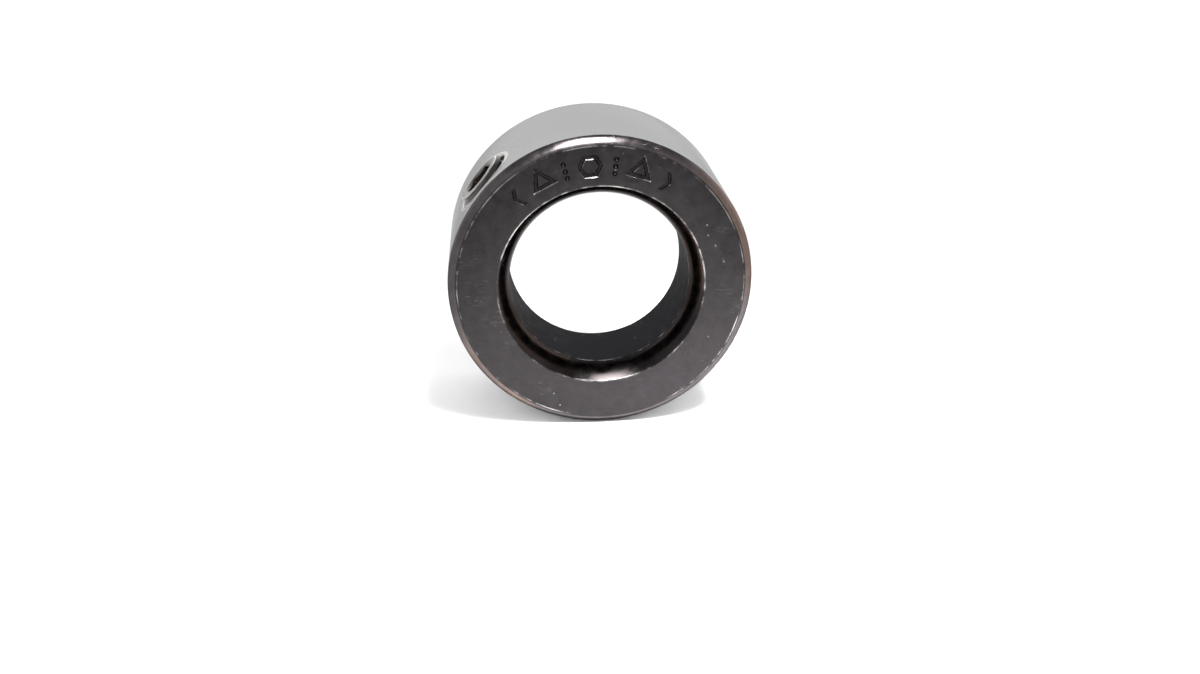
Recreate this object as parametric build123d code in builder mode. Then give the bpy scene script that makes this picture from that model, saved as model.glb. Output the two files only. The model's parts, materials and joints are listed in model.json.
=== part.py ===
from build123d import *
from math import cos, radians, sin, tan
import os

# An eccentric locking collar and its set screw, in millimetres, with +Z up.
#
# The collar slips over a shaft beside an insert bearing. Its back has an eccentric recess
# that turns onto the cam of the bearing's inner ring and wedges there, and the set screw
# then holds the collar to the shaft.
#
# The shaft axis lies along Y. The front face looks along -Y and the recess opens along +Y.
# The origin is on the shaft axis, in the plane of the recess's floor. Angles around the
# shaft are counted from +X towards +Z, in degrees.

# Collar ring
outer_diameter = 28.6
width = 13.5
front_chamfer_radial = 0.86
front_chamfer_axial = 0.70
front_chamfer_crown = 0.10  # how far its middle stands out of a straight chamfer
back_chamfer = 0.30

# Shaft bore and the lead-in at its front end
shaft_diameter = 17.0
shaft_clearance = 0.03  # radial
lead_in_radial = 1.19
lead_in_axial = 2.20
lead_in_crown = 0.20  # how far its middle stands out of a straight cone

# Eccentric recess in the back
recess_depth = 4.5
recess_offset = 0.8  # of its axis from the shaft axis
recess_angle = 90.0  # where the recess comes nearest to the rim
recess_thin_wall = 1.9  # between the recess and the rim, where it is thinnest
recess_chamfer = 0.25

# Tapped hole for the set screw
thread_diameter = 6.0
thread_clearance = 0.04  # radial, between the plain cylinders that stand for the threads
screw_angle = 139.6
screw_from_front = 4.8  # front face to the screw's axis
countersink_width = 0.44  # radial, at the crown of the rim
countersink_angle = 90.0

# Set screw with a hexagon socket and a cup point
screw_length = 6.0
screw_to_shaft_bore = 0.04  # between the screw's point and the wall of the shaft bore
end_chamfer = 0.50
socket_across_flats = 3.0
socket_depth = 2.5
socket_lead = 0.10  # radial width of the bevel at the socket's mouth, past its corners
drill_angle = 120.0
cup_diameter = 3.0
cup_angle = 120.0

# Places that follow from the sizes above
outer_radius = outer_diameter / 2
bore_radius = shaft_diameter / 2 + shaft_clearance
front_y = recess_depth - width
back_y = recess_depth
recess_radius = outer_radius - recess_thin_wall - recess_offset
recess_x = recess_offset * cos(radians(recess_angle))
recess_z = recess_offset * sin(radians(recess_angle))

screw_y = front_y + screw_from_front
screw_out = Vector(cos(radians(screw_angle)), 0, sin(radians(screw_angle)))
screw_origin = Vector(0, screw_y, 0)
screw_point = bore_radius + screw_to_shaft_bore  # distance from the shaft axis
screw_end = screw_point + screw_length
hole_radius = thread_diameter / 2 + thread_clearance


def plane_across_screw(distance):
    """A plane square to the screw, this far from the shaft axis, facing outwards."""
    return Plane(origin=screw_origin + screw_out * distance, x_dir=(0, 1, 0), z_dir=screw_out)


with BuildPart() as collar_ring:
    # Half section of the ring, turned about the shaft axis: x is the radius, y lies along the shaft.
    # The lead-in and the front chamfer are crowned, so they are arcs.
    lead_in_start = (bore_radius, front_y + lead_in_axial)
    face_inner = (bore_radius + lead_in_radial, front_y)
    face_outer = (outer_radius - front_chamfer_radial, front_y)
    rim_start = (outer_radius, front_y + front_chamfer_axial)
    with BuildSketch(Plane.XY):
        with BuildLine():
            SagittaArc(lead_in_start, face_inner, -lead_in_crown)
            Line(face_inner, face_outer)
            SagittaArc(face_outer, rim_start, -front_chamfer_crown)
            Polyline(
                rim_start,
                (outer_radius, back_y - back_chamfer),
                (outer_radius - back_chamfer, back_y),
                (bore_radius, back_y),
                lead_in_start,
            )
        make_face()
    revolve(axis=Axis.Y)

    # Eccentric recess, bored from the back face, with its edge broken.
    with BuildSketch(Plane.XZ.offset(-back_y)):
        with Locations((recess_x, recess_z)):
            Circle(recess_radius)
    extrude(amount=recess_depth, mode=Mode.SUBTRACT)
    recess_edges = collar_ring.edges().filter_by(GeomType.CIRCLE)
    recess_mouth = recess_edges.filter_by(lambda edge: abs(edge.radius - recess_radius) < 1e-4)
    chamfer(recess_mouth.sort_by(Axis.Y)[-1], length=recess_chamfer)

    # Radial hole for the set screw, through one wall, countersunk at the rim.
    with Locations(plane_across_screw(outer_radius)):
        CounterSinkHole(
            radius=hole_radius,
            counter_sink_radius=hole_radius + countersink_width,
            depth=outer_radius,
            counter_sink_angle=countersink_angle,
        )
collar_ring.part.label = "collar_ring"


with BuildPart() as set_screw:
    # Half section of the screw, turned about its own axis: x is the radius, y points outwards.
    # The cup is hollowed and the cone around it runs out to the thread at 45 degrees.
    thread_radius = thread_diameter / 2
    cup_radius = cup_diameter / 2
    cup_height = cup_radius / tan(radians(cup_angle / 2))
    cone_height = thread_radius - cup_radius
    section = Plane(origin=screw_origin, x_dir=(0, 1, 0), z_dir=Vector(0, 1, 0).cross(screw_out))
    with BuildSketch(section):
        with BuildLine():
            Polyline(
                (0, screw_point + cup_height),
                (cup_radius, screw_point),
                (thread_radius, screw_point + cone_height),
                (thread_radius, screw_end - end_chamfer),
                (thread_radius - end_chamfer, screw_end),
                (0, screw_end),
                close=True,
            )
        make_face()
    revolve(axis=Axis(screw_origin, screw_out))

    # Hexagon socket, with the cone that its drill leaves and a bevel at its mouth.
    with BuildSketch(plane_across_screw(screw_end)):
        RegularPolygon(socket_across_flats / 2, 6, major_radius=False)
    extrude(amount=-socket_depth, mode=Mode.SUBTRACT)

    drill_radius = socket_across_flats / 2
    drill_height = drill_radius / tan(radians(drill_angle / 2))
    drill_end = screw_end - socket_depth
    lead_radius = socket_across_flats / 2 / cos(radians(30)) + socket_lead
    lead_height = lead_radius / tan(radians(drill_angle / 2))
    with BuildSketch(section):
        with BuildLine():
            Polyline(
                (0, drill_end - drill_height),
                (drill_radius, drill_end),
                (0, drill_end),
                close=True,
            )
        make_face()
        with BuildLine():
            Polyline(
                (0, screw_end - lead_height),
                (lead_radius, screw_end),
                (0, screw_end),
                close=True,
            )
        make_face()
    revolve(axis=Axis(screw_origin, screw_out), mode=Mode.SUBTRACT)
set_screw.part.label = "set_screw"


os.makedirs("parts", exist_ok=True)
export_step(collar_ring.part, "parts/collar_ring.step")
export_step(set_screw.part, "parts/set_screw.step")
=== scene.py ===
"""An eccentric locking collar and its set screw, standing on a pale studio floor."""
import json
from math import asin, ceil, cos, floor, pi, radians, sin, tan, tau

import bmesh
import bpy
from mathutils import Matrix, Vector


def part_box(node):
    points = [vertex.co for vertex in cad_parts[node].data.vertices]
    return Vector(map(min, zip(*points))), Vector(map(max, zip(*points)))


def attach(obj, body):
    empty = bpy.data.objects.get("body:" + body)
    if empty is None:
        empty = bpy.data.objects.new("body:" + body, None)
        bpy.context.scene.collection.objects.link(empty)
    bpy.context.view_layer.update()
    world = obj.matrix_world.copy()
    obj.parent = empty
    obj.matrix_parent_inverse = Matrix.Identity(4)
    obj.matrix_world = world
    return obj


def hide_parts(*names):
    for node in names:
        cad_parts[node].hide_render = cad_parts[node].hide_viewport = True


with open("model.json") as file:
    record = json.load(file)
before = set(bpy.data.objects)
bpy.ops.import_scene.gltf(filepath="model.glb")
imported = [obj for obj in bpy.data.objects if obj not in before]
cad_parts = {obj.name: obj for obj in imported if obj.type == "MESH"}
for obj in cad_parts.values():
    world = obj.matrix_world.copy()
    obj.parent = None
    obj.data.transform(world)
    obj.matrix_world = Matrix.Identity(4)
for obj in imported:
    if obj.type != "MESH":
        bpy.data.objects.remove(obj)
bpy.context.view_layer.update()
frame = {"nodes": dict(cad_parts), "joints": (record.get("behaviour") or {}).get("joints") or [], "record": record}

bl_info = {
    "name": "Eccentric Locking Collar",
    "version": (1, 0, 0),
    "blender": (4, 5, 0),
    "location": "View3D > Sidebar > Collar",
    "description": "Builds a turned locking collar, its set screw and a studio around a packed frame",
    "category": "Add Mesh",
}

MM = 0.001
MICRON = 1e-6

# The collar ring stands between these planes, and its mounts give the bore and the recess.
RING_LOW, RING_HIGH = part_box("collar_ring")
OUTER_RADIUS = min(RING_HIGH.x, -RING_LOW.x, RING_HIGH.z, -RING_LOW.z)
FRONT_Y = RING_LOW.y
BACK_Y = RING_HIGH.y
MOUNTS = {mount["name"]: mount for mount in frame["record"]["mounts"]}
BORE_RADIUS = MOUNTS["shaft_bore"]["dims"]["r_mm"] * MM
BORE_LENGTH = MOUNTS["shaft_bore"]["dims"]["length_mm"] * MM
RECESS_CENTRE = Vector(MOUNTS["cam_recess"]["pos_m"])
RECESS_RADIUS = MOUNTS["cam_recess"]["dims"]["r_mm"] * MM
RECESS_FLOOR = RECESS_CENTRE.y
RECESS_WALL = MOUNTS["cam_recess"]["dims"]["length_mm"] * MM

# The set screw lies along its joint's axis, and its CAD node gives how far in and out it reaches.
SCREW_LOW, SCREW_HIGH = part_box("set_screw")
ALONG_SHAFT = Vector((0, 1, 0))
SCREW_CENTRE = ALONG_SHAFT * (SCREW_LOW.y + SCREW_HIGH.y) / 2
SCREW_RADIUS = (SCREW_HIGH.y - SCREW_LOW.y) / 2
SCREW_OUT = Vector(frame["joints"][0]["axis"]).normalized()
SCREW_REACH = [vertex.co.dot(SCREW_OUT) for vertex in frame["nodes"]["set_screw"].data.vertices]
SCREW_POINT = min(SCREW_REACH)
SCREW_END = max(SCREW_REACH)


def length(name, value, text, low=0.0):
    """A size in metres that a user can change."""
    return bpy.props.FloatProperty(
        name=name, description=text, default=value, min=low, precision=5, unit="LENGTH"
    )


def share(name, value, text, high=1.0):
    """A plain number from nothing to high."""
    return bpy.props.FloatProperty(name=name, description=text, default=value, min=0.0, max=high)


def count(name, value, text):
    """A whole number of steps."""
    return bpy.props.IntProperty(name=name, description=text, default=value, min=3)


def angle(name, value, text):
    """An angle, given here in degrees."""
    return bpy.props.FloatProperty(
        name=name, description=text, default=radians(value), subtype="ANGLE"
    )


def colour(name, value, text):
    """A linear colour."""
    return bpy.props.FloatVectorProperty(
        name=name, description=text, default=value, size=3, min=0.0, max=1.0, subtype="COLOR"
    )


def point(name, value, text):
    """A place in the studio, in metres."""
    return bpy.props.FloatVectorProperty(
        name=name, description=text, default=value, size=3, subtype="TRANSLATION", unit="LENGTH"
    )


class RingSizes(bpy.types.PropertyGroup):
    """Sizes of the turned ring that its mounts don't give."""

    steps: count("Steps", 288, "Facets around the ring")
    arc_steps: count("Arc steps", 8, "Facets across a crowned chamfer")
    lead_in_width: length("Lead-in width", 1.19 * MM, "Radial width of the bore's lead-in")
    lead_in_crown: length("Lead-in crown", 0.20 * MM, "How far the lead-in bulges")
    chamfer_width: length("Chamfer width", 0.86 * MM, "Radial width of the front chamfer")
    chamfer_depth: length("Chamfer depth", 0.70 * MM, "Depth of the front chamfer")
    chamfer_crown: length("Chamfer crown", 0.10 * MM, "How far the front chamfer bulges")
    back_chamfer: length("Back chamfer", 0.30 * MM, "Size of the chamfer round the back face")
    edge_round: length("Edge round", 0.05 * MM, "Radius that handling has worn on the edges")


class StampSizes(bpy.types.PropertyGroup):
    """The row of plain marks struck into the front face."""

    radius: length("Band radius", 11.6 * MM, "Distance of the marks from the shaft axis")
    middle: angle("Band middle", 95.0, "Where the row's middle stands, counted from +X to +Z")
    pitch: angle("Pitch", 11.3, "Angle between neighbouring marks")
    size: length("Mark size", 1.05 * MM, "Half the height of a mark")
    stroke: length("Stroke", 0.32 * MM, "Width of a groove at the face")
    depth: length("Depth", 0.16 * MM, "Depth of a groove")


class ScrewSizes(bpy.types.PropertyGroup):
    """Sizes of the set screw and its tapped hole."""

    pitch: length("Pitch", 1.0 * MM, "Advance of the thread in one turn")
    steps: count("Steps", 72, "Facets around the screw")
    play: length("Play", 0.03 * MM, "Radial clearance between the two threads")
    countersink_width: length("Countersink", 0.44 * MM, "Radial width of the countersink")
    end_chamfer: length("End chamfer", 0.50 * MM, "Chamfer at the socket end")
    cup_radius: length("Cup radius", 1.5 * MM, "Radius of the cup point's rim")
    flats: length("Across flats", 3.0 * MM, "Width of the hexagon socket")
    socket_depth: length("Socket depth", 2.5 * MM, "Depth of the hexagon socket")
    socket_lead: length("Socket bevel", 0.10 * MM, "Bevel past the socket's corners")
    edge_round: length("Edge round", 0.03 * MM, "Radius worn on the screw's edges")


class FinishSettings(bpy.types.PropertyGroup):
    """Colours and roughness of the blackened steel, and the gains of the painted highlight and shade on its
    chamfers.
    """

    face: colour("Face", (0.0385, 0.0352, 0.0372), "Turned and blackened face")
    rim: colour("Rim", (0.37, 0.37, 0.377), "Ground and thinly blackened rim")
    bore: colour("Bore", (0.018, 0.018, 0.020), "Blackened bore")
    brown: colour("Brown", (0.085, 0.061, 0.051), "Brown bloom of the oxide on the chamfers")
    worn: colour("Worn", (0.62, 0.60, 0.58), "Steel that shows where the oxide has worn off")
    screw: colour("Screw", (0.055, 0.052, 0.048), "Blackened and oiled screw")
    roughness: share("Roughness", 0.30, "Roughness of the turned face")
    rim_roughness: share("Rim roughness", 0.27, "Roughness of the ground rim")
    bore_dullness: share("Bore dullness", 0.26, "Roughness added in the bore")
    # Painted highlight and painted shade: these gains brighten the front chamfer's colour and darken the
    # lead-in's, setting how bright their highlights come out.
    chamfer_painted_highlight: share("Chamfer gain", 2.3, "How bright the front chamfer's oxide is", high=4.0)
    lead_in_painted_shade: share("Lead-in gain", 0.62, "How bright the lead-in's oxide is")


class StudioSettings(bpy.types.PropertyGroup):
    """The floor, the lamps and the camera."""

    floor: colour("Floor", (0.90, 0.90, 0.90), "Pale floor")
    floor_size: length("Floor size", 1.6, "Side of the square floor")
    backdrop: share("Backdrop", 1.8, "Brightness of the backdrop behind the collar", high=9.0)
    room: share("Room", 0.85, "Brightness of the room in front of the collar", high=9.0)
    ceiling: share("Ceiling", 0.45, "Brightness of the ceiling", high=9.0)
    lens: bpy.props.FloatProperty(
        name="Lens", description="Focal length on a 36 mm sensor", default=37.0, unit="CAMERA"
    )
    yaw: angle("Yaw", 4.75, "How far the camera is turned to the right")
    dip: angle("Dip", 23.52, "How far the camera looks down")
    distance: length("Distance", 0.1069, "From the camera to the shaft axis, across the face")
    across: length("Across", -9.03 * MM, "How far left of the shaft axis the camera stands", -1.0)
    height: length("Height", 41.6 * MM, "How far above the shaft axis the camera stands")
    box_place: point("Soft box", (-0.012, -0.138, 0.272), "Where the metal's soft box hangs")
    box_width: length("Soft box width", 0.14, "Width of the soft box")
    box_height: length("Soft box height", 0.20, "Height of the soft box")
    box_power: share("Soft box power", 0.31, "Watts of the soft box")
    box_grid: angle("Soft box grid", 48.0, "Angle to which a grid narrows the soft box")
    silk_power: share("Silk power", 1.3, "Strength of the even light on the floor", high=9.0)
    silk_width: angle("Silk width", 90.0, "How wide the silk looks from the floor")
    pool_place: point("Pool lamp", (0.03, -0.05, 0.12), "Where the floor's small lamp hangs")
    pool_target: point("Pool", (0.010, -0.018, RING_LOW.z), "Middle of its pool on the floor")
    pool_side: length("Pool lamp side", 0.04, "Side of the floor's small lamp")
    pool_power: share("Pool power", 0.034, "Watts of the floor's small lamp")
    pool_grid: angle("Pool grid", 34.0, "Angle to which a grid narrows the small lamp")


# ---------------------------------------------------------------- shaping


def in_order(start, end, crown, steps):
    """Points of an arc from start to end that bulges to the left of its chord by crown."""
    start, end = Vector(start), Vector(end)
    chord = end - start
    left = Vector((-chord.y, chord.x)).normalized()
    radius = (chord.length_squared / 4 + crown**2) / (2 * crown)
    centre = (start + end) / 2 + left * (crown - radius)
    half = asin(chord.length / 2 / radius)
    way = chord.normalized()
    turns = [half * (2 * step / steps - 1) for step in range(steps + 1)]
    return [tuple(centre + way * (radius * sin(t)) + left * (radius * cos(t))) for t in turns]


def spun(bm, outline, centre, axis, across, steps, closed=False):
    """Turns an outline of (radius, height) points a full turn about a line through centre."""
    points = [bm.verts.new(centre + across * radius + axis * height) for radius, height in outline]
    edges = [bm.edges.new(pair) for pair in zip(points, points[1:] + points[:closed])]
    bmesh.ops.spin(
        bm, geom=points + edges, cent=centre, axis=axis, angle=tau, steps=steps, use_merge=True
    )


def next_hoop(bm, edges, centre, scale, rise):
    """Extrudes a hoop of edges, scales the new hoop about a line along Y and moves it along Y."""
    made = bmesh.ops.extrude_edge_only(bm, edges=edges)["geom"]
    verts = [item for item in made if isinstance(item, bmesh.types.BMVert)]
    about = Matrix.Translation(-centre)
    bmesh.ops.scale(bm, verts=verts, vec=(scale, 1, scale), space=about)
    bmesh.ops.translate(bm, verts=verts, vec=(0, rise, 0))
    new = set(verts)
    return [
        item for item in made if isinstance(item, bmesh.types.BMEdge) and set(item.verts) <= new
    ]


def tidy(bm):
    """Merges what meets and turns every face outwards."""
    bmesh.ops.remove_doubles(bm, verts=bm.verts, dist=0.2 * MICRON)
    bmesh.ops.dissolve_degenerate(bm, dist=0.2 * MICRON, edges=bm.edges)
    bmesh.ops.recalc_face_normals(bm, faces=bm.faces)


def soften(bm, radius, sharper_than, segments=3, chosen=lambda edge: True):
    """Rounds the edges that turn by more than an angle."""
    edges = [
        edge
        for edge in bm.edges
        if len(edge.link_faces) == 2
        and edge.calc_face_angle() > radians(sharper_than)
        and chosen(edge)
    ]
    bmesh.ops.bevel(
        bm,
        geom=edges,
        offset=radius,
        offset_type="OFFSET",
        segments=segments,
        profile=0.5,
        affect="EDGES",
        clamp_overlap=True,
        material=-1,
    )


def shade(bm, smooth_up_to=32.0):
    """Shades a surface smooth but for its real corners."""
    for edge in bm.edges:
        edge.smooth = len(edge.link_faces) == 2 and edge.calc_face_angle(0) < radians(smooth_up_to)
    for face in bm.faces:
        face.smooth = True


def finished(bm, name):
    """Makes an object of a bmesh."""
    mesh = bpy.data.meshes.new(name)
    shade(bm)
    bm.to_mesh(mesh)
    bm.free()
    piece = bpy.data.objects.new(name, mesh)
    bpy.context.scene.collection.objects.link(piece)
    return piece


def combined(piece, tool, operation):
    """Cuts, joins or meets a piece with a tool, which is used up.

    The solver wants sizes near one, so both are worked on in millimetres.
    """
    for thing in (piece, tool):
        thing.data.transform(Matrix.Scale(1 / MM, 4))
    modifier = piece.modifiers.new("shape", "BOOLEAN")
    modifier.operation = operation
    modifier.solver = "MANIFOLD"
    modifier.object = tool
    bpy.context.view_layer.update()
    seen = piece.evaluated_get(bpy.context.evaluated_depsgraph_get())
    shaped = bpy.data.meshes.new_from_object(seen)
    shaped.transform(Matrix.Scale(MM, 4))
    bm = bmesh.new()
    bm.from_mesh(shaped)
    shade(bm)
    bm.to_mesh(shaped)
    bm.free()
    piece.modifiers.clear()
    old, piece.data = piece.data, shaped
    bpy.data.meshes.remove(old)
    spent = tool.data
    bpy.data.objects.remove(tool)
    bpy.data.meshes.remove(spent)
    return piece


# ---------------------------------------------------------------- the ring


def ring_blank(sizes):
    """The turned ring with its eccentric recess, before the hole and the marks."""
    bm = bmesh.new()
    lead_in_depth = RECESS_FLOOR - BORE_LENGTH - FRONT_Y
    face_inner = (BORE_RADIUS + sizes.lead_in_width, FRONT_Y)
    face_outer = (OUTER_RADIUS - sizes.chamfer_width, FRONT_Y)
    lead_in = in_order(
        (BORE_RADIUS, FRONT_Y + lead_in_depth), face_inner, -sizes.lead_in_crown, sizes.arc_steps
    )
    chamfer = in_order(
        face_outer,
        (OUTER_RADIUS, FRONT_Y + sizes.chamfer_depth),
        -sizes.chamfer_crown,
        sizes.arc_steps,
    )
    back = [(OUTER_RADIUS, BACK_Y - sizes.back_chamfer), (OUTER_RADIUS - sizes.back_chamfer, BACK_Y)]
    outline = [(BORE_RADIUS, RECESS_FLOOR)] + lead_in + chamfer + back
    spun(bm, outline, Vector((0, 0, 0)), ALONG_SHAFT, Vector((1, 0, 0)), sizes.steps)

    # The recess grows from the bore's inner hoop: its floor, wall, lip and the back face.
    hoop = [
        edge
        for edge in bm.edges
        if edge.is_boundary and all(abs(v.co.y - RECESS_FLOOR) < MICRON for v in edge.verts)
    ]
    lip = BACK_Y - RECESS_FLOOR - RECESS_WALL
    grow = RECESS_RADIUS / BORE_RADIUS
    eccentric = Vector((RECESS_CENTRE.x, 0, RECESS_CENTRE.z))
    shift = eccentric / (1 - grow)
    hoop = next_hoop(bm, hoop, shift, grow, 0)
    hoop = next_hoop(bm, hoop, eccentric, 1, RECESS_WALL)
    hoop = next_hoop(bm, hoop, eccentric, (RECESS_RADIUS + lip) / RECESS_RADIUS, lip)
    back_radius = OUTER_RADIUS - sizes.back_chamfer
    grow = back_radius / (RECESS_RADIUS + lip)
    next_hoop(bm, hoop, eccentric * grow / (grow - 1), grow, 0)
    tidy(bm)
    soften(bm, sizes.edge_round, 12.0)
    return finished(bm, "collar")


def groove(bm, corners, size, stroke, depth, turn=0.0):
    """A struck outline of so many corners, as a closed cutter that narrows to its bottom.

    Its widths are across the sides, which a corner lies further out than.
    """
    above, flare, shoulder = 0.5 * depth, 0.6, 0.4 * depth
    corner = 1 / cos(pi / corners)
    outer = size / corner
    inner = outer - stroke
    section = [
        (outer + shoulder + above, above),
        (outer, -shoulder),
        (outer - flare * (depth - shoulder), -depth),
        (inner + flare * (depth - shoulder), -depth),
        (inner, -shoulder),
        (inner - shoulder - above, above),
    ]
    section = [(across * corner, level) for across, level in section]
    up, first = Vector((0, 0, 1)), Vector((sin(turn), cos(turn), 0))
    spun(bm, section, Vector((0, 0, 0)), up, first, corners, closed=True)


def chevron(bm, half, stroke, depth, way):
    """A struck arrow-head that points to +X or -X, as a closed cutter that narrows downwards."""
    above, shoulder = 0.5 * depth, 0.4 * depth
    lower = None
    for level, grow in ((above, 1.7), (-shoulder, 1.0), (-depth, 0.6)):
        wide = stroke * grow
        outline = [
            (0.0, half),
            (wide, half),
            (half * 0.55 + wide, 0.0),
            (wide, -half),
            (0.0, -half),
            (half * 0.55, 0.0),
        ]
        shift = (stroke - wide) / 2
        ring = [bm.verts.new((way * (x + shift), y, level)) for x, y in outline]
        edges = [bm.edges.new(pair) for pair in zip(ring, ring[1:] + ring[:1])]
        if lower:
            bmesh.ops.bridge_loops(bm, edges=lower + edges)
        if level != -shoulder:
            bmesh.ops.contextual_create(bm, geom=edges)
        lower = edges


def stamp_tool(sizes):
    """All the marks of the band as one cutter, set into the front face."""
    bm = bmesh.new()
    marks = ("chevron_left", "triangle", "dots", "hexagon", "dots", "triangle", "chevron_right")
    for place, mark in enumerate(marks):
        before = set(bm.verts)
        if mark == "triangle":
            groove(bm, 3, sizes.size * 1.3, sizes.stroke, sizes.depth)
        elif mark == "hexagon":
            groove(bm, 6, sizes.size * 1.1, sizes.stroke, sizes.depth, turn=pi / 6)
        elif mark == "dots":
            for height in (-0.62, 0.0, 0.62):
                made = bmesh.ops.create_uvsphere(
                    bm, u_segments=16, v_segments=8, radius=sizes.stroke * 0.75
                )
                bmesh.ops.translate(bm, verts=made["verts"], vec=(0, height * sizes.size, 0))
        else:
            way = 1 if mark == "chevron_right" else -1
            chevron(bm, sizes.size * 0.85, sizes.stroke, sizes.depth, way)
        made = [vert for vert in bm.verts if vert not in before]
        turn = (len(marks) // 2 - place) * sizes.pitch
        # A mark is drawn in its own plane, stood up facing -Y, lifted to the band and swung round.
        bmesh.ops.rotate(bm, verts=made, matrix=Matrix.Rotation(pi / 2, 3, "X"))
        bmesh.ops.translate(bm, verts=made, vec=(0, FRONT_Y, sizes.radius))
        swing = Matrix.Rotation(-(sizes.middle - pi / 2 + turn), 3, "Y")
        bmesh.ops.rotate(bm, verts=made, cent=(0, 0, 0), matrix=swing)
    tidy(bm)
    return finished(bm, "stamps")


def thread_rod(name, radius, pitch, low, high, steps, depth_share=0.54):
    """A closed right-handed rod of 60 degree thread along the screw, from low to high."""
    depth = depth_share * pitch
    crest, root = pitch / 8, pitch / 4
    outline = [
        (radius - depth, 0.0),
        (radius - depth, root),
        (radius, (pitch + root - crest) / 2),
        (radius, (pitch + root + crest) / 2),
        (radius - depth, pitch),
    ]
    bm = bmesh.new()
    centre, axis, across = SCREW_CENTRE, SCREW_OUT, ALONG_SHAFT
    first = (floor(low / pitch) - 1) * pitch
    turns = ceil((high - first) / pitch)
    points = [
        bm.verts.new(centre + across * r + axis * (first + height)) for r, height in outline
    ]
    edges = [bm.edges.new(pair) for pair in zip(points, points[1:])]
    bmesh.ops.spin(
        bm,
        geom=points + edges,
        cent=centre,
        axis=axis,
        dvec=axis * (pitch / steps),
        angle=tau * turns,
        steps=steps * turns,
        use_merge=False,
    )
    bmesh.ops.remove_doubles(bm, verts=bm.verts, dist=0.5 * MICRON)
    for level, side in ((low, False), (high, True)):
        geometry = bm.verts[:] + bm.edges[:] + bm.faces[:]
        cut = bmesh.ops.bisect_plane(
            bm,
            geom=geometry,
            dist=0.1 * MICRON,
            plane_co=centre + axis * level,
            plane_no=axis,
            clear_outer=side,
            clear_inner=not side,
        )
        rim = [e for e in cut["geom_cut"] if isinstance(e, bmesh.types.BMEdge)]
        bmesh.ops.contextual_create(bm, geom=rim)
    tidy(bm)
    return finished(bm, name)


def turned_tool(name, outline, steps):
    """A closed solid turned about the screw's axis from (radius, height) points."""
    bm = bmesh.new()
    spun(bm, outline, SCREW_CENTRE, SCREW_OUT, ALONG_SHAFT, steps)
    tidy(bm)
    return finished(bm, name)


def collar_ring(context):
    """The ring, bored, recessed, tapped and marked."""
    ring = context.scene.ring_sizes
    screw = context.scene.screw_sizes
    stamps = context.scene.stamp_sizes
    piece = ring_blank(ring)
    hole = thread_rod(
        "tapped_hole",
        SCREW_RADIUS + screw.play,
        screw.pitch,
        BORE_RADIUS - 2 * MM,
        OUTER_RADIUS + 1 * MM,
        screw.steps,
    )
    mouth = SCREW_RADIUS + screw.play + screw.countersink_width
    sink = turned_tool(
        "countersink",
        [
            (0.0, OUTER_RADIUS - mouth),
            (mouth, OUTER_RADIUS),
            (mouth + 1 * MM, OUTER_RADIUS + 1 * MM),
            (0.0, OUTER_RADIUS + 1 * MM),
        ],
        screw.steps,
    )
    combined(hole, sink, "UNION")
    combined(piece, hole, "DIFFERENCE")
    combined(piece, stamp_tool(stamps), "DIFFERENCE")
    return piece


# ---------------------------------------------------------------- the set screw


def set_screw(context):
    """The screw: thread, end chamfer, cup point and hexagon socket."""
    sizes = context.scene.screw_sizes
    piece = thread_rod(
        "screw", SCREW_RADIUS, sizes.pitch, SCREW_POINT - 1 * MM, SCREW_END + 1 * MM, sizes.steps
    )
    cup_height = sizes.cup_radius / tan(radians(60))
    cone = SCREW_RADIUS - sizes.cup_radius
    rounding = sizes.edge_round
    envelope = turned_tool(
        "envelope",
        [
            (0.0, SCREW_POINT + cup_height),
            (sizes.cup_radius - rounding, SCREW_POINT + rounding / 2),
            (sizes.cup_radius, SCREW_POINT),
            (SCREW_RADIUS + 0.2 * MM, SCREW_POINT + cone + 0.2 * MM),
            (SCREW_RADIUS + 0.2 * MM, SCREW_END - sizes.end_chamfer - 0.2 * MM),
            (SCREW_RADIUS - sizes.end_chamfer + rounding, SCREW_END - rounding),
            (SCREW_RADIUS - sizes.end_chamfer - rounding, SCREW_END),
            (0.0, SCREW_END),
        ],
        sizes.steps,
    )
    combined(piece, envelope, "INTERSECT")
    corner = sizes.flats / 2 / cos(radians(30))
    bm = bmesh.new()
    bmesh.ops.create_cone(
        bm,
        cap_ends=True,
        segments=6,
        radius1=corner,
        radius2=corner,
        depth=sizes.socket_depth + 1 * MM,
    )
    soften(bm, 0.08 * MM, 50.0, 2, lambda edge: abs(edge.verts[0].co.z - edge.verts[1].co.z) > MM)
    bmesh.ops.translate(bm, verts=bm.verts, vec=(0, 0, 0.5 * MM - sizes.socket_depth / 2))
    stand = SCREW_OUT.to_track_quat("Z", "Y").to_matrix()
    bmesh.ops.rotate(bm, verts=bm.verts, matrix=stand)
    bmesh.ops.translate(bm, verts=bm.verts, vec=SCREW_CENTRE + SCREW_OUT * SCREW_END)
    tidy(bm)
    combined(piece, finished(bm, "socket"), "DIFFERENCE")
    drilled = SCREW_END - sizes.socket_depth
    lead = corner + sizes.socket_lead
    slope = tan(radians(60))
    drill_radius = sizes.flats / 2 * 0.98
    tool = turned_tool(
        "drill",
        [
            (0.0, drilled - sizes.flats / 2 / slope),
            (drill_radius, drilled - 0.02 * MM),
            (drill_radius, SCREW_END - (lead - drill_radius) / slope),
            (lead + 0.1 * MM, SCREW_END + 0.1 * MM / slope),
            (0.0, SCREW_END + 1 * MM),
        ],
        sizes.steps,
    )
    combined(piece, tool, "DIFFERENCE")
    return piece


# ---------------------------------------------------------------- materials


# Noise scales are per metre: these give patches about 6 mm, 1 mm and 0.2 mm across.
CLOUD_SCALE = 160.0
MOTTLE_SCALE = 900.0
GRIT_SCALE = 4200.0


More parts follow.
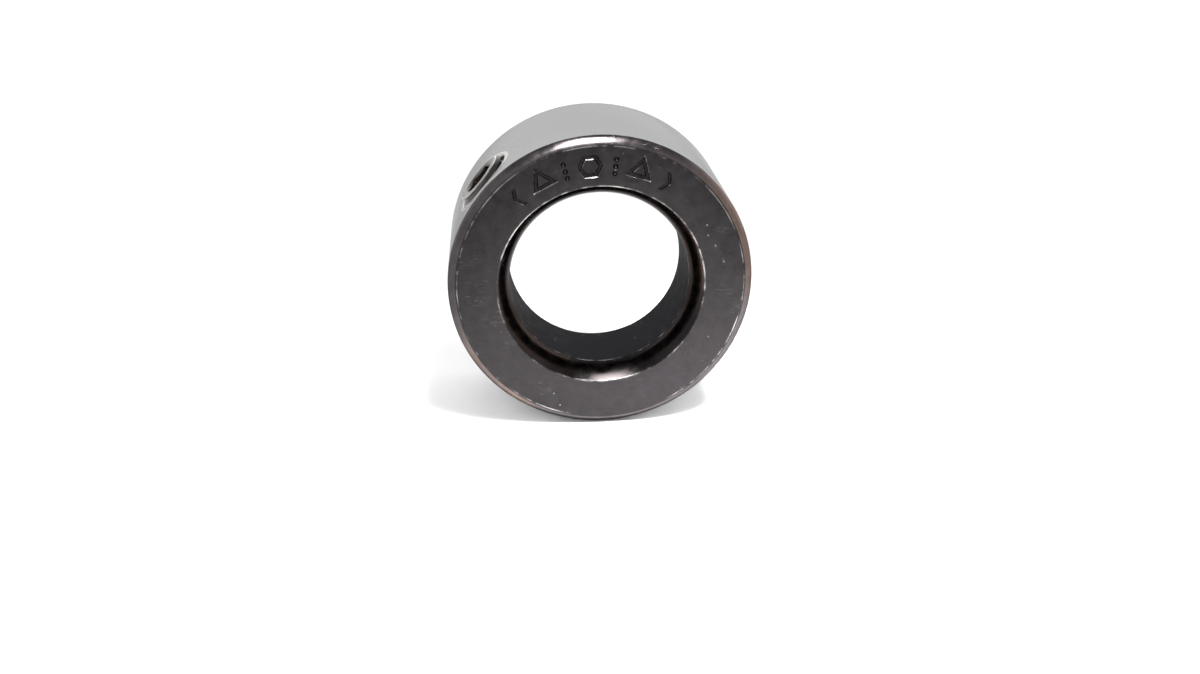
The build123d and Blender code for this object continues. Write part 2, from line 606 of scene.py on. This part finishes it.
class Graph:
    """Builds the nodes of a material or a world with few words."""

    def __init__(self, tree):
        self.tree = tree

    def node(self, kind, *values):
        """Adds a node and fills its first inputs."""
        made = self.tree.nodes.new(kind)
        for socket, value in zip(made.inputs, values):
            self.feed(socket, value)
        return made

    def feed(self, socket, value):
        """Links a socket to another, or gives it a plain value."""
        if isinstance(value, bpy.types.NodeSocket):
            self.tree.links.new(value, socket)
        else:
            socket.default_value = value

    def maths(self, operation, *values):
        """One sum on plain values."""
        made = self.node("ShaderNodeMath", *values)
        made.operation = operation
        return made.outputs[0]

    def weighted(self, *pairs):
        """The sum of some values, each times its weight."""
        parts = [self.maths("MULTIPLY", value, weight) for value, weight in pairs]
        total = parts[0]
        for part in parts[1:]:
            total = self.maths("ADD", total, part)
        return total

    def hypot(self, first, second):
        """The distance that two lengths at right angles make."""
        squares = [self.maths("MULTIPLY", value, value) for value in (first, second)]
        return self.maths("SQRT", self.maths("ADD", *squares))

    def outside_of(self, mask):
        """What a mask leaves."""
        return self.maths("SUBTRACT", 1.0, mask)

    def vector(self, operation, *values):
        """One sum on vectors, as its node, since its result may be either kind."""
        made = self.node("ShaderNodeVectorMath", *values)
        made.operation = operation
        return made

    def smooth(self, value, low, high, start=0.0, end=1.0):
        """Goes smoothly from start to end as a value goes from low to high."""
        made = self.node("ShaderNodeMapRange", value, low, high, start, end)
        made.interpolation_type = "SMOOTHSTEP"
        return made.outputs[0]

    def blend(self, share, below, above):
        """Mixes two colours."""
        made = self.tree.nodes.new("ShaderNodeMix")
        made.data_type = "RGBA"
        self.feed(made.inputs[0], share)
        self.feed(made.inputs[6], below)
        self.feed(made.inputs[7], above)
        return made.outputs[2]

    def float_blend(self, share, below, above):
        """Mixes two plain values."""
        made = self.tree.nodes.new("ShaderNodeMix")
        made.data_type = "FLOAT"
        self.feed(made.inputs[0], share)
        self.feed(made.inputs[2], below)
        self.feed(made.inputs[3], above)
        return made.outputs[0]

    def noise(self, vector, scale, detail=2.0, rough=0.5, dimensions="3D"):
        """Fractal noise in space, or along one length."""
        made = self.tree.nodes.new("ShaderNodeTexNoise")
        made.noise_dimensions = dimensions
        if dimensions == "1D":
            self.feed(made.inputs["W"], vector)
        else:
            self.feed(made.inputs["Vector"], vector)
        self.feed(made.inputs["Scale"], scale)
        self.feed(made.inputs["Detail"], detail)
        self.feed(made.inputs["Roughness"], rough)
        return made.outputs[0]

    def stretched(self, vector, scale, turn):
        """A place turned and stretched, for noise that runs one way."""
        made = self.tree.nodes.new("ShaderNodeMapping")
        self.feed(made.inputs["Vector"], vector)
        self.feed(made.inputs["Rotation"], turn)
        self.feed(made.inputs["Scale"], scale)
        return made.outputs[0]


class Finish(Graph):
    """The nodes of a new material."""

    def __init__(self, name):
        self.material = bpy.data.materials.new(name)
        self.material.use_nodes = True
        super().__init__(self.material.node_tree)
        self.shader = self.tree.nodes["Principled BSDF"]

    def bumped(self, height, strength, distance):
        """Stands the surface's fine relief in its shading."""
        bump = self.tree.nodes.new("ShaderNodeBump")
        bump.inputs["Strength"].default_value = strength
        bump.inputs["Distance"].default_value = distance
        self.feed(bump.inputs["Height"], height)
        self.feed(self.shader.inputs["Normal"], bump.outputs[0])


def opaque(value):
    """A colour with full alpha."""
    return (*value, 1.0)


def near(graph, radius, depth, at_radius, at_depth, reach):
    """A mask that is 1 on a circle about the shaft and falls to 0 at a distance of reach."""
    radial = graph.maths("SUBTRACT", radius, at_radius)
    axial = graph.maths("SUBTRACT", depth, at_depth)
    return graph.smooth(graph.hypot(radial, axial), 0.0, reach, 1.0, 0.0)


def from_screw(graph, place):
    """A point's distance from the screw's axis, and how far out along it the point lies."""
    offset = graph.vector("SUBTRACT", place, tuple(SCREW_CENTRE)).outputs[0]
    cross = graph.vector("CROSS_PRODUCT", offset, tuple(SCREW_OUT)).outputs[0]
    radius = graph.vector("LENGTH", cross).outputs["Value"]
    along = graph.vector("DOT_PRODUCT", offset, tuple(SCREW_OUT)).outputs["Value"]
    return radius, along


def collar_steel(context):
    """Blackened steel: turned faces, a ground rim, worn edges, scratches and specks, with painted shade in the
    marks' grooves, a painted highlight on the front chamfer and painted shade on the lead-in.
    """
    finish, sizes = context.scene.finish_settings, context.scene.ring_sizes
    screw = context.scene.screw_sizes
    graph = Finish("blackened_steel")
    place = graph.node("ShaderNodeTexCoord").outputs["Object"]
    x, y, z = graph.node("ShaderNodeSeparateXYZ", place).outputs
    radius = graph.hypot(x, z)

    cloud = graph.noise(place, CLOUD_SCALE, 4.0, 0.55)
    mottle = graph.noise(place, MOTTLE_SCALE, 5.0, 0.6)
    grit = graph.noise(place, GRIT_SCALE, 2.0, 0.6)

    # Where each finish lies: the rim outside the chamfer, the bore inside the face.
    rim_start = FRONT_Y + sizes.chamfer_depth
    on_rim = graph.maths(
        "MULTIPLY",
        graph.smooth(radius, OUTER_RADIUS - 0.12 * MM, OUTER_RADIUS - 0.05 * MM),
        graph.smooth(y, rim_start - 0.06 * MM, rim_start + 0.03 * MM),
    )
    face_inner = BORE_RADIUS + sizes.lead_in_width
    face_outer = OUTER_RADIUS - sizes.chamfer_width
    in_bore = graph.smooth(radius, BORE_RADIUS + 0.02 * MM, BORE_RADIUS + 0.10 * MM, 1.0, 0.0)
    off_face = graph.smooth(y, FRONT_Y + 0.02 * MM, FRONT_Y + 0.10 * MM)
    before_bore = graph.smooth(
        y, RECESS_FLOOR - BORE_LENGTH - 0.1 * MM, RECESS_FLOOR - BORE_LENGTH, 1.0, 0.0
    )
    outside = graph.smooth(radius, face_outer - 0.1 * MM, face_outer)
    inside = graph.smooth(radius, face_inner, face_inner + 0.1 * MM, 1.0, 0.0)
    front_slope = graph.maths("MULTIPLY", off_face, before_bore)
    on_chamfer = graph.maths("MULTIPLY", front_slope, outside)
    on_chamfer = graph.maths("MULTIPLY", on_chamfer, graph.outside_of(on_rim))
    on_lead_in = graph.maths("MULTIPLY", front_slope, inside)
    on_chamfers = graph.maths("MAXIMUM", on_chamfer, on_lead_in)
    # The grooves of the struck marks, which get painted shade.
    groove_painted_shade = graph.maths("SUBTRACT", front_slope, graph.maths("MAXIMUM", outside, inside))
    groove_painted_shade = graph.maths("MAXIMUM", groove_painted_shade, 0.0)

    # Turning marks: rings about the shaft on the faces, fine rounds on the rim.
    ring_marks = graph.noise(radius, 5200.0, 3.0, 0.65, "1D")
    round_marks = graph.noise(y, 9000.0, 3.0, 0.65, "1D")
    marks = graph.float_blend(graph.maths("MAXIMUM", on_rim, in_bore), ring_marks, round_marks)

    # Handling scratches: thin lines in three directions, broken up by a coarser noise.
    scratches = []
    for turn, stretch, scale in ((0.35, 28.0, 260.0), (-0.8, 22.0, 210.0), (1.35, 30.0, 300.0)):
        lines = graph.noise(
            graph.stretched(place, (1.0, 1.0, stretch), (0.0, turn, 0.0)), scale, 2.0, 0.5
        )
        crossing = graph.maths("ABSOLUTE", graph.maths("SUBTRACT", lines, 0.5))
        line = graph.smooth(crossing, 0.0, 0.006, 1.0, 0.0)
        patch = graph.noise(
            graph.stretched(place, (1.0, 1.0, 1.0), (turn, 0.0, turn)), 420.0, 1.0, 0.5
        )
        scratches.append(graph.maths("MULTIPLY", line, graph.smooth(patch, 0.63, 0.72)))
    scratch = graph.maths("MAXIMUM", graph.maths("MAXIMUM", *scratches[:2]), scratches[2])

    cells = graph.tree.nodes.new("ShaderNodeTexVoronoi")
    graph.feed(cells.inputs["Vector"], place)
    graph.feed(cells.inputs["Scale"], MOTTLE_SCALE)
    specks = graph.smooth(cells.outputs["Distance"], 0.05, 0.11, 1.0, 0.0)
    specks = graph.maths("MULTIPLY", specks, graph.smooth(cloud, 0.54, 0.62))
    specks = graph.maths("MULTIPLY", specks, graph.outside_of(in_bore))

    # Worn edges: circles where two turned surfaces meet, broken up unevenly.
    wear = None
    for at_radius, at_depth, reach in (
        (face_inner, FRONT_Y, 0.13 * MM),
        (face_outer, FRONT_Y, 0.09 * MM),
        (OUTER_RADIUS, rim_start, 0.10 * MM),
        (BORE_RADIUS, RECESS_FLOOR - BORE_LENGTH, 0.10 * MM),
        (OUTER_RADIUS - sizes.back_chamfer / 2, BACK_Y - sizes.back_chamfer / 2, 0.28 * MM),
    ):
        mask = near(graph, radius, y, at_radius, at_depth, reach)
        wear = mask if wear is None else graph.maths("MAXIMUM", wear, mask)
    bite = graph.smooth(graph.weighted((cloud, 0.6), (mottle, 0.5)), 0.50, 0.68)
    wear = graph.maths("MULTIPLY", wear, bite)
    on_shoulder = graph.smooth(y, FRONT_Y + 0.07 * MM, FRONT_Y + 0.10 * MM, 1.0, 0.0)
    on_face_side = graph.outside_of(graph.maths("MAXIMUM", outside, inside))
    dented = graph.smooth(y, FRONT_Y + 0.002 * MM, FRONT_Y + 0.012 * MM)
    on_shoulder = graph.maths("MULTIPLY", on_shoulder, graph.maths("MULTIPLY", dented, on_face_side))
    glint = graph.smooth(graph.noise(place, 1400.0, 2.0, 0.5), 0.42, 0.58, 0.15, 1.0)
    wear = graph.maths("MAXIMUM", wear, graph.maths("MULTIPLY", on_shoulder, glint))

    from_axis, outwards = from_screw(graph, place)
    hole_radius = SCREW_RADIUS + screw.play
    mouth = hole_radius + screw.countersink_width
    on_sink = graph.maths(
        "MULTIPLY",
        graph.smooth(from_axis, hole_radius - 0.02 * MM, hole_radius + 0.04 * MM),
        graph.smooth(from_axis, mouth, mouth + 0.08 * MM, 1.0, 0.0),
    )
    off_bore = graph.smooth(outwards, BORE_RADIUS + 1 * MM, BORE_RADIUS + 2 * MM)
    on_sink = graph.maths("MULTIPLY", on_sink, off_bore)

    face = graph.blend(cloud, opaque(finish.face), opaque([0.78 * c for c in finish.face]))
    body = graph.blend(on_rim, face, opaque(finish.rim))
    body = graph.blend(on_sink, body, opaque(finish.worn))
    body = graph.blend(in_bore, body, opaque(finish.bore))
    # Painted shade: the grooves of the struck marks are darkened to 0.6 of the face's colour.
    body = graph.blend(groove_painted_shade, body, opaque([0.6 * c for c in finish.face]))
    drift = graph.noise(place, 55.0, 2.0, 0.5)
    bloom = graph.maths("MULTIPLY", on_chamfers, graph.smooth(drift, 0.45, 0.62, 0.05, 0.8))
    body = graph.blend(bloom, body, opaque(finish.brown))
    turned = graph.smooth(mottle, 0.3, 0.7, 0.88, 1.10)
    ground = graph.smooth(round_marks, 0.3, 0.7, 0.95, 1.04)
    shade = graph.float_blend(on_rim, turned, ground)
    # Painted highlight on the front chamfer and painted shade on the lead-in: their colour is scaled by these
    # gains.
    for slope, gain in ((on_chamfer, finish.chamfer_painted_highlight), (on_lead_in, finish.lead_in_painted_shade)):
        shade = graph.maths("MULTIPLY", shade, graph.smooth(slope, 0.0, 1.0, 1.0, gain))
    tone = graph.vector("SCALE", body)
    graph.feed(tone.inputs["Scale"], shade)
    body = tone.outputs[0]
    bare = graph.weighted((wear, 0.55), (scratch, 0.22), (specks, 0.5))
    bare = graph.maths("MINIMUM", bare, 1.0)
    body = graph.blend(bare, body, opaque(finish.worn))
    graph.feed(graph.shader.inputs["Base Color"], body)
    graph.shader.inputs["Metallic"].default_value = 1.0
    graph.shader.inputs["Specular Tint"].default_value = (0.5, 0.5, 0.5, 1.0)

    dull = graph.smooth(mottle, 0.25, 0.75, finish.roughness - 0.05, finish.roughness + 0.09)
    dull = graph.maths("ADD", dull, graph.maths("MULTIPLY", in_bore, finish.bore_dullness))
    even = graph.smooth(cloud, 0.3, 0.7, finish.rim_roughness - 0.015, finish.rim_roughness + 0.02)
    rough = graph.float_blend(on_rim, dull, even)
    rubbed = graph.maths("MULTIPLY", graph.maths("MAXIMUM", on_chamfers, wear), 0.12)
    polished = graph.maths("SUBTRACT", rough, rubbed)
    graph.feed(graph.shader.inputs["Roughness"], polished)

    relief = graph.weighted((marks, 0.55), (grit, 0.20), (scratch, -0.8))
    graph.bumped(relief, 0.30, 0.008 * MM)
    return graph.material


def screw_steel(context):
    """Blackened and lightly oiled steel, worn on the thread's crests and the end's rim."""
    finish = context.scene.finish_settings
    graph = Finish("screw_steel")
    place = graph.node("ShaderNodeTexCoord").outputs["Object"]
    cloud = graph.noise(place, 400.0, 4.0, 0.55)
    grit = graph.noise(place, 5000.0, 3.0, 0.6)

    radius, along = from_screw(graph, place)
    crest = graph.smooth(radius, SCREW_RADIUS - 0.10 * MM, SCREW_RADIUS - 0.02 * MM)
    sizes = context.scene.screw_sizes
    rim = graph.maths("ABSOLUTE", graph.maths("SUBTRACT", radius, SCREW_RADIUS - sizes.end_chamfer))
    at_end = graph.smooth(along, SCREW_END - 0.12 * MM, SCREW_END - 0.02 * MM)
    rim = graph.maths("MULTIPLY", graph.smooth(rim, 0.02 * MM, 0.14 * MM, 1.0, 0.0), at_end)
    bite = graph.smooth(cloud, 0.38, 0.62, 0.25, 1.0)
    wear = graph.maths("MULTIPLY", graph.maths("MAXIMUM", graph.maths("MULTIPLY", crest, 0.6), rim), bite)
    body = graph.blend(cloud, opaque(finish.screw), opaque([0.6 * c for c in finish.screw]))
    warm = graph.blend(graph.smooth(grit, 0.45, 0.7, 0.0, 0.5), body, opaque(finish.brown))
    graph.feed(graph.shader.inputs["Base Color"], graph.blend(wear, warm, opaque(finish.worn)))
    graph.shader.inputs["Metallic"].default_value = 1.0
    graph.feed(graph.shader.inputs["Roughness"], graph.smooth(cloud, 0.3, 0.7, 0.24, 0.40))
    graph.bumped(grit, 0.30, 0.006 * MM)
    return graph.material


def floor_paint(context):
    """Matt pale paint with a trace of unevenness."""
    studio = context.scene.studio_settings
    graph = Finish("floor_paint")
    place = graph.node("ShaderNodeTexCoord").outputs["Object"]
    cloud = graph.noise(place, 9.0, 3.0, 0.5)
    low = opaque([0.985 * c for c in studio.floor])
    graph.feed(graph.shader.inputs["Base Color"], graph.blend(cloud, opaque(studio.floor), low))
    graph.shader.inputs["Roughness"].default_value = 0.9
    graph.shader.inputs["Specular IOR Level"].default_value = 0.1
    return graph.material


# ---------------------------------------------------------------- the studio


def hung(data, place, target, thing, link_state):
    """Hangs a lamp that looks at a target, and lights only one thing or all but that thing."""
    lamp = bpy.data.objects.new(data.name, data)
    bpy.context.scene.collection.objects.link(lamp)
    lamp.location = place
    lamp.rotation_mode = "QUATERNION"
    lamp.rotation_quaternion = (Vector(target) - Vector(place)).to_track_quat("-Z", "Y")
    lamp.visible_camera = False
    group = bpy.data.collections.new(data.name + "_link")
    group.objects.link(thing)
    group.collection_objects[0].light_linking.link_state = link_state
    lamp.light_linking.receiver_collection = group
    return lamp


def soft_box(name, width, height, watts, grid):
    """A rectangular soft box with a grid."""
    data = bpy.data.lights.new(name, "AREA")
    data.shape = "RECTANGLE"
    data.size = width
    data.size_y = height
    data.energy = watts
    data.spread = grid
    return data


def overcast(name, strength, width):
    """An even light from above, as from a wide silk."""
    data = bpy.data.lights.new(name, "SUN")
    data.energy = strength
    data.angle = width
    return data


def shine_from_behind(tree, studio):
    """A bright backdrop behind the collar, a dimmer room in front and a dark ceiling."""
    graph = Graph(tree)
    way = graph.node("ShaderNodeTexCoord").outputs["Generated"]
    y, z = graph.node("ShaderNodeSeparateXYZ", way).outputs[1:]
    level = graph.smooth(y, -0.2, 0.4, studio.room, studio.backdrop)
    overhead = graph.smooth(z, 0.52, 0.80)
    level = graph.weighted((level, graph.outside_of(overhead)), (overhead, studio.ceiling))
    sky = tree.nodes["Background"]
    sky.inputs["Color"].default_value = (1.0, 1.0, 1.0, 1.0)
    graph.feed(sky.inputs["Strength"], level)


def studio_stage(context):
    """The floor, the walls, the lamps and the camera."""
    studio = context.scene.studio_settings
    bm = bmesh.new()
    bmesh.ops.create_grid(bm, x_segments=8, y_segments=8, size=studio.floor_size / 2)
    bmesh.ops.translate(bm, verts=bm.verts, vec=(0, 0, RING_LOW.z))
    ground = finished(bm, "studio_floor")
    ground.data.materials.append(floor_paint(context))

    world = bpy.data.worlds.new("studio_walls")
    world.use_nodes = True
    shine_from_behind(world.node_tree, studio)
    context.scene.world = world

    # One soft box lights the metal. A wide silk and a small pool light the floor that it reflects.
    middle = Vector((0, 0, 0))
    box = soft_box(
        "front_box", studio.box_width, studio.box_height, studio.box_power, studio.box_grid
    )
    hung(box, studio.box_place, middle, ground, "EXCLUDE")
    silk = overcast("silk", studio.silk_power, studio.silk_width)
    hung(silk, Vector((0, 0, 0.5)), middle, ground, "INCLUDE")
    side = studio.pool_side
    pool = soft_box("pool", side, side, studio.pool_power, studio.pool_grid)
    hung(pool, studio.pool_place, studio.pool_target, ground, "INCLUDE")

    data = bpy.data.cameras.new("camera")
    data.sensor_width = 36.0
    data.lens = studio.lens
    data.clip_start, data.clip_end = 0.005, 10.0
    camera = bpy.data.objects.new("camera", data)
    context.scene.collection.objects.link(camera)
    camera.location = (studio.across, FRONT_Y - studio.distance, studio.height)
    camera.rotation_mode = "QUATERNION"
    way = Vector(
        (sin(studio.yaw) * cos(studio.dip), cos(studio.yaw) * cos(studio.dip), -sin(studio.dip))
    )
    camera.rotation_quaternion = way.to_track_quat("-Z", "Y")
    context.scene.camera = camera
    context.scene.view_settings.view_transform = "Standard"


# ---------------------------------------------------------------- the add-on


class COLLAR_OT_ring(bpy.types.Operator):
    """Turn, recess, tap and mark the collar ring"""

    bl_idname = "collar.ring"
    bl_label = "Collar Ring"

    def execute(self, context):
        piece = collar_ring(context)
        piece.data.materials.clear()
        piece.data.materials.append(collar_steel(context))
        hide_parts("collar_ring")
        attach(piece, "collar")
        return {"FINISHED"}


class COLLAR_OT_set_screw(bpy.types.Operator):
    """Thread and socket the set screw"""

    bl_idname = "collar.set_screw"
    bl_label = "Set Screw"

    def execute(self, context):
        piece = set_screw(context)
        piece.data.materials.clear()
        piece.data.materials.append(screw_steel(context))
        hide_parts("set_screw")
        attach(piece, "screw")
        return {"FINISHED"}


class COLLAR_OT_stage(bpy.types.Operator):
    """Lay the floor and set the lights and the camera"""

    bl_idname = "collar.stage"
    bl_label = "Studio"

    def execute(self, context):
        studio_stage(context)
        return {"FINISHED"}


class COLLAR_PT_builder(bpy.types.Panel):
    """Lists the collar's pieces and their sizes"""

    bl_idname = "COLLAR_PT_builder"
    bl_label = "Locking Collar"
    bl_space_type = "VIEW_3D"
    bl_region_type = "UI"
    bl_category = "Collar"

    def draw(self, context):
        scene = context.scene
        for operator, groups in (
            (COLLAR_OT_ring, (scene.ring_sizes, scene.stamp_sizes, scene.finish_settings)),
            (COLLAR_OT_set_screw, (scene.screw_sizes,)),
            (COLLAR_OT_stage, (scene.studio_settings,)),
        ):
            box = self.layout.box()
            box.operator(operator.bl_idname)
            for group in groups:
                for key in group.__annotations__:
                    box.prop(group, key)


SETTINGS = {
    "ring_sizes": RingSizes,
    "stamp_sizes": StampSizes,
    "screw_sizes": ScrewSizes,
    "finish_settings": FinishSettings,
    "studio_settings": StudioSettings,
}
OPERATORS = (COLLAR_OT_ring, COLLAR_OT_set_screw, COLLAR_OT_stage)
CLASSES = (*SETTINGS.values(), *OPERATORS, COLLAR_PT_builder)


def register():
    for made in CLASSES:
        bpy.utils.register_class(made)
    for name, group in SETTINGS.items():
        setattr(bpy.types.Scene, name, bpy.props.PointerProperty(type=group))


def unregister():
    for name in SETTINGS:
        delattr(bpy.types.Scene, name)
    for made in reversed(CLASSES):
        bpy.utils.unregister_class(made)


def main():
    """Builds every piece and the stage."""
    register()
    bpy.ops.collar.ring()
    bpy.ops.collar.set_screw()
    bpy.ops.collar.stage()


if __name__ == "__main__":
    main()
